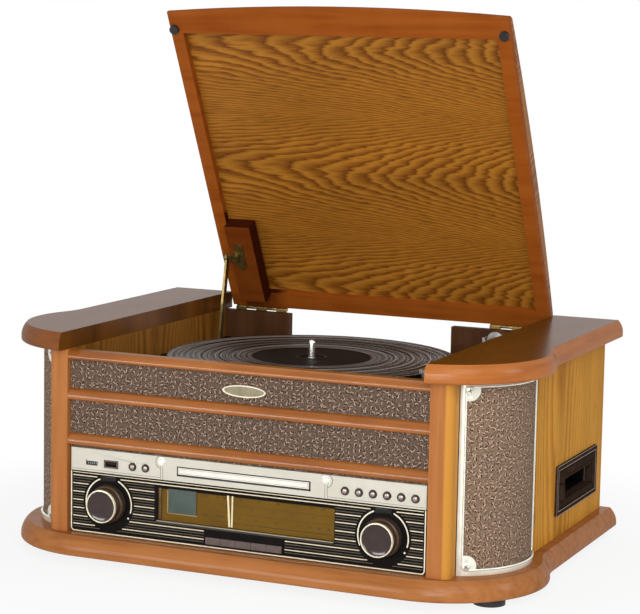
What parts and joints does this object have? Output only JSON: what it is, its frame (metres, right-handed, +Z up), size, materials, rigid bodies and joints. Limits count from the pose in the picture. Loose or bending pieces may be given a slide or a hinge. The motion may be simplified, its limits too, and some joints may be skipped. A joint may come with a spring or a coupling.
{
  "type": "music center",
  "caption": "Wooden tabletop music center: turntable under a hinged lid, radio dial, CD tray, cassette slot and rounded cloth-covered corner speakers.",
  "frame": {"origin": "centre of the space the part takes with the lid open, on the ground under its feet", "axes": "+Z up, front with the dial faces -Y, +X to the viewer's right"},
  "size_m": [0.569, 0.403, 0.563],
  "materials": {
    "lacquered_wood": "satin",
    "dark_wood": "satin",
    "oak_veneer": "satin",
    "red_wood": "satin",
    "dark_board": "satin",
    "woven_cloth": "woven",
    "champagne_metal": "satin",
    "black_plastic": "matte",
    "grey_plastic": "matte",
    "brown_plastic": "gloss",
    "clear_plastic": "clear",
    "dial_print": "matte",
    "display": "gloss",
    "button_metal": "polished",
    "pale_plastic": "matte",
    "steel": "brushed",
    "cast_aluminium": "satin",
    "vinyl": "gloss",
    "rubber": "matte",
    "paper_cone": "matte",
    "brass": "aged",
    "circuit_board": "matte"
  },
  "bodies": {
    "cabinet": {"plinth": "lacquered_wood", "feet": "rubber", "side_panel_left": "oak_veneer", "side_panel_right": "oak_veneer", "inner_boards": "oak_veneer", "columns": "lacquered_wood", "front_rails": "lacquered_wood", "cloth_panels": "woven_cloth", "badge": "champagne_metal", "silver_strip": "champagne_metal", "dial_panel": "black_plastic", "dial_window": "clear_plastic", "dial_scale": "dial_print", "lcd_display": "display", "trim_studs": "champagne_metal", "cd_drive": "steel", "top_cap_left": "dark_wood", "top_cap_right": "dark_wood", "speaker_frames": "champagne_metal", "speaker_drivers": "paper_cone", "cassette_bezel": "grey_plastic", "cassette_deck": "black_plastic", "deck_plate": "black_plastic", "drive_motor": "steel", "drive_belt": "rubber", "tonearm_base": "black_plastic", "arm_rest": "black_plastic", "back_panel": "dark_board", "case_hardware": "brass", "main_board": "circuit_board"},
    "lid": {"lid_frame": "red_wood", "lid_panel": "oak_veneer", "lid_bumpers": "rubber", "lid_hardware": "brass"},
    "stay": {"stay_arm": "brass"},
    "turntable": {"platter": "cast_aluminium", "platter_mat": "vinyl"},
    "pulley": {"motor_pulley": "brass"},
    "arm_bearing": {"arm_yoke": "steel"},
    "arm": {"tonearm": "steel"},
    "cue": {"cue_lever": "black_plastic"},
    "speed": {"speed_switch": "black_plastic"},
    "tray": {"cd_tray": "pale_plastic"},
    "volume": {"volume_knob": "brown_plastic"},
    "tuning": {"tuning_knob": "brown_plastic"},
    "pointer": {"dial_pointer": "dial_print"},
    "push_1": {"button_1": "button_metal"},
    "push_2": {"button_2": "button_metal"},
    "push_3": {"button_3": "button_metal"},
    "push_4": {"button_4": "button_metal"},
    "push_5": {"button_5": "button_metal"},
    "push_6": {"button_6": "button_metal"},
    "push_7": {"button_7": "button_metal"},
    "push_8": {"button_8": "button_metal"},
    "tab_1": {"key_1": "brown_plastic"},
    "tab_2": {"key_2": "brown_plastic"},
    "tab_3": {"key_3": "brown_plastic"},
    "tab_4": {"key_4": "brown_plastic"},
    "tab_5": {"key_5": "brown_plastic"},
    "eject": {"eject_key": "pale_plastic"}
  },
  "joints": [
    {"name": "lid_hinge", "type": "hinge", "parent": "cabinet", "child": "lid", "pos_m": [0, 0.18951, 0.218], "axis": [1, 0, 0], "range_deg": [0, 62.6]},
    {"name": "stay_swing", "type": "hinge", "parent": "lid", "child": "stay", "pos_m": [-0.1731, 0.13628, 0.28006], "axis": [1, 0, 0], "range_deg": [-52, 0]},
    {"name": "platter_spin", "type": "hinge", "parent": "cabinet", "child": "turntable", "pos_m": [0, -0.01648, 0.184], "axis": [0, 0, -1], "continuous": true},
    {"name": "pulley_spin", "type": "hinge", "parent": "cabinet", "child": "pulley", "pos_m": [-0.048, 0.04752, 0.184], "axis": [0, 0, -1], "continuous": true},
    {"name": "arm_swing", "type": "hinge", "parent": "cabinet", "child": "arm_bearing", "pos_m": [0.154, 0.10351, 0.184], "axis": [0, 0, -1], "range_deg": [0, 40]},
    {"name": "arm_lift", "type": "hinge", "parent": "arm_bearing", "child": "arm", "pos_m": [0.154, 0.10351, 0.213], "axis": [-0.9986, -0.0523, 0], "range_deg": [0, 3]},
    {"name": "cue_lift", "type": "hinge", "parent": "cabinet", "child": "cue", "pos_m": [0.17, 0.07752, 0.188], "axis": [-1, 0, 0], "range_deg": [0, 40]},
    {"name": "speed_slide", "type": "slide", "parent": "cabinet", "child": "speed", "axis": [1, 0, 0], "range_m": [0, 0.012]},
    {"name": "tray_slide", "type": "slide", "parent": "cabinet", "child": "tray", "axis": [0, -1, 0], "range_m": [0, 0.132]},
    {"name": "volume_turn", "type": "hinge", "parent": "cabinet", "child": "volume", "pos_m": [-0.149, -0.17849, 0.062], "axis": [0, 1, 0], "range_deg": [-150, 150]},
    {"name": "tuning_turn", "type": "hinge", "parent": "cabinet", "child": "tuning", "pos_m": [0.149, -0.17849, 0.062], "axis": [0, 1, 0], "range_deg": [-130, 400]},
    {"name": "pointer_slide", "type": "slide", "parent": "cabinet", "child": "pointer", "axis": [1, 0, 0], "range_m": [-0.028, 0.085]},
    {"name": "button_1_press", "type": "slide", "parent": "cabinet", "child": "push_1", "axis": [0, 1, 0], "range_m": [0, 0.0012], "stiffness_N_per_m": 400, "springref_m": -0.0005},
    {"name": "button_2_press", "type": "slide", "parent": "cabinet", "child": "push_2", "axis": [0, 1, 0], "range_m": [0, 0.0012], "stiffness_N_per_m": 400, "springref_m": -0.0005},
    {"name": "button_3_press", "type": "slide", "parent": "cabinet", "child": "push_3", "axis": [0, 1, 0], "range_m": [0, 0.0012], "stiffness_N_per_m": 400, "springref_m": -0.0005},
    {"name": "button_4_press", "type": "slide", "parent": "cabinet", "child": "push_4", "axis": [0, 1, 0], "range_m": [0, 0.0012], "stiffness_N_per_m": 400, "springref_m": -0.0005},
    {"name": "button_5_press", "type": "slide", "parent": "cabinet", "child": "push_5", "axis": [0, 1, 0], "range_m": [0, 0.0012], "stiffness_N_per_m": 400, "springref_m": -0.0005},
    {"name": "button_6_press", "type": "slide", "parent": "cabinet", "child": "push_6", "axis": [0, 1, 0], "range_m": [0, 0.0012], "stiffness_N_per_m": 400, "springref_m": -0.0005},
    {"name": "button_7_press", "type": "slide", "parent": "cabinet", "child": "push_7", "axis": [0, 1, 0], "range_m": [0, 0.0012], "stiffness_N_per_m": 400, "springref_m": -0.0005},
    {"name": "button_8_press", "type": "slide", "parent": "cabinet", "child": "push_8", "axis": [0, 1, 0], "range_m": [0, 0.0012], "stiffness_N_per_m": 400, "springref_m": -0.0005},
    {"name": "key_1_press", "type": "slide", "parent": "cabinet", "child": "tab_1", "axis": [0, 1, 0], "range_m": [0, 0.0025], "stiffness_N_per_m": 400, "springref_m": -0.001},
    {"name": "key_2_press", "type": "slide", "parent": "cabinet", "child": "tab_2", "axis": [0, 1, 0], "range_m": [0, 0.0025], "stiffness_N_per_m": 400, "springref_m": -0.001},
    {"name": "key_3_press", "type": "slide", "parent": "cabinet", "child": "tab_3", "axis": [0, 1, 0], "range_m": [0, 0.0025], "stiffness_N_per_m": 400, "springref_m": -0.001},
    {"name": "key_4_press", "type": "slide", "parent": "cabinet", "child": "tab_4", "axis": [0, 1, 0], "range_m": [0, 0.0025], "stiffness_N_per_m": 400, "springref_m": -0.001},
    {"name": "key_5_press", "type": "slide", "parent": "cabinet", "child": "tab_5", "axis": [0, 1, 0], "range_m": [0, 0.0025], "stiffness_N_per_m": 400, "springref_m": -0.001},
    {"name": "eject_press", "type": "slide", "parent": "cabinet", "child": "eject", "axis": [-1, 0, 0], "range_m": [0, 0.003], "stiffness_N_per_m": 400, "springref_m": -0.001}
  ],
  "couplings": [
    {"joint": "stay_swing", "follows": "lid_hinge", "ratio": -0.826},
    {"joint": "pulley_spin", "follows": "platter_spin", "ratio": 10.5},
    {"joint": "pointer_slide", "follows": "tuning_turn", "m_per_rad": 0.012}
  ]
}
